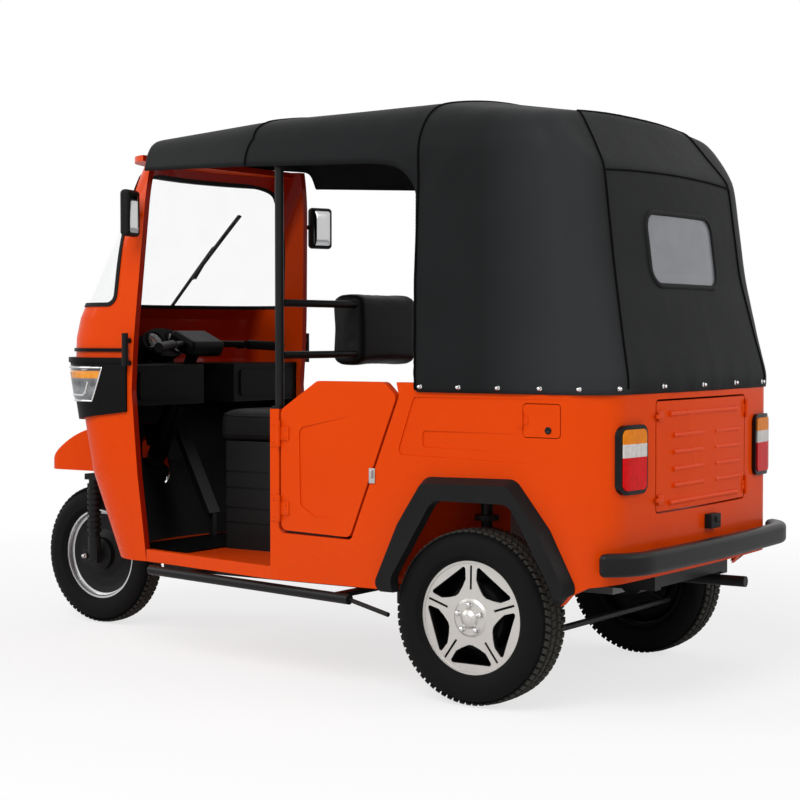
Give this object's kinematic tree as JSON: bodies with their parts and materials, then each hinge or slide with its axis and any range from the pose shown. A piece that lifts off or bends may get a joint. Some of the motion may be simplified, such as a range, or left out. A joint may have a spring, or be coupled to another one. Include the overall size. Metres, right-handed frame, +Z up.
{
  "type": "auto rickshaw",
  "caption": "Three-wheeled passenger auto rickshaw with an open-sided cab, handlebar steering, low side doors and a fabric hood over the rear bench.",
  "frame": {"origin": "on the ground, midway along the length and across the width", "axes": "+X forward along the vehicle, +Y to its left, +Z up"},
  "size_m": [2.806, 1.2906, 1.828],
  "materials": {
    "body_paint": "gloss",
    "canopy_vinyl": "satin",
    "clear_glass": "gloss",
    "clear_vinyl": "gloss",
    "rubber": "matte",
    "black_plastic": "matte",
    "lamp_clear": "gloss",
    "lamp_red": "gloss",
    "black_metal": "satin",
    "seat_vinyl": "satin",
    "engine_metal": "matte",
    "tyre_rubber": "matte",
    "rim_alloy": "satin",
    "steel": "satin"
  },
  "bodies": {
    "vehicle": {"nose_cowl": "body_paint", "windscreen_frame": "body_paint", "front_mudguard": "body_paint", "floor_pan": "body_paint", "side_panel_left": "body_paint", "side_panel_right": "body_paint", "rear_panel": "body_paint", "bench_box": "body_paint", "windscreen_seal": "rubber", "windscreen_glass": "clear_glass", "lamp_panels": "black_plastic", "headlamps": "lamp_clear", "dashboard": "black_plastic", "steering_head": "black_metal", "brake_pedal": "black_metal", "arch_flares": "black_plastic", "tail_lamps": "lamp_red", "tail_bezels": "rubber", "footwell_liner": "black_plastic", "wiper": "black_plastic", "rear_bumper": "black_metal", "chassis_rails": "black_metal", "bench_cushion": "seat_vinyl", "bench_backrest": "seat_vinyl", "driver_seat_box": "black_metal", "driver_cushion": "seat_vinyl", "driver_backrest": "seat_vinyl", "pillar_tubes": "black_metal", "canopy_roof": "canopy_vinyl", "canopy_hood": "canopy_vinyl", "rear_window": "clear_vinyl", "hood_bows": "black_metal", "engine_block": "engine_metal", "exhaust": "black_metal", "rear_arms": "black_metal", "side_steps": "black_metal", "side_mirrors": "black_plastic", "grab_handles": "black_plastic"},
    "steering": {"steering_fork": "black_metal", "handlebar": "black_plastic"},
    "front_wheel": {"front_tyre": "tyre_rubber", "front_rim": "black_metal"},
    "rear_wheel_left": {"rear_tyre_left": "tyre_rubber", "rear_rim_left": "rim_alloy", "half_shaft_left": "steel"},
    "rear_wheel_right": {"rear_tyre_right": "tyre_rubber", "rear_rim_right": "rim_alloy", "half_shaft_right": "steel"},
    "left_door": {"door_left": "body_paint"},
    "right_door": {"door_right": "body_paint"},
    "hatch": {"rear_hatch": "body_paint"},
    "flap": {"fuel_flap": "body_paint"}
  },
  "joints": [
    {"name": "steering", "type": "hinge", "parent": "vehicle", "child": "steering", "pos_m": [0.687, 0, 1.058], "axis": [-0.4226, 0, 0.9063], "range_deg": [-38, 38]},
    {"name": "front_wheel_spin", "type": "hinge", "parent": "steering", "child": "front_wheel", "pos_m": [1.142, 0, 0.261], "axis": [0, 1, 0], "continuous": true},
    {"name": "rear_wheel_left_spin", "type": "hinge", "parent": "vehicle", "child": "rear_wheel_left", "pos_m": [-0.858, 0.545, 0.261], "axis": [0, 1, 0], "continuous": true},
    {"name": "rear_wheel_right_spin", "type": "hinge", "parent": "vehicle", "child": "rear_wheel_right", "pos_m": [-0.858, -0.545, 0.261], "axis": [0, 1, 0], "continuous": true},
    {"name": "left_door_swing", "type": "hinge", "parent": "vehicle", "child": "left_door", "pos_m": [-0.162, 0.613, 0.675], "axis": [0, 0, -1], "range_deg": [0, 85]},
    {"name": "right_door_swing", "type": "hinge", "parent": "vehicle", "child": "right_door", "pos_m": [-0.162, -0.613, 0.675], "axis": [0, 0, 1], "range_deg": [0, 85]},
    {"name": "hatch_swing", "type": "hinge", "parent": "vehicle", "child": "hatch", "pos_m": [-1.32327, -0.319, 0.735], "axis": [0, 0, 1], "range_deg": [0, 105]},
    {"name": "flap_swing", "type": "hinge", "parent": "vehicle", "child": "flap", "pos_m": [-1.03675, 0.609, 0.845], "axis": [0, 0, -1], "range_deg": [0, 100]}
  ]
}
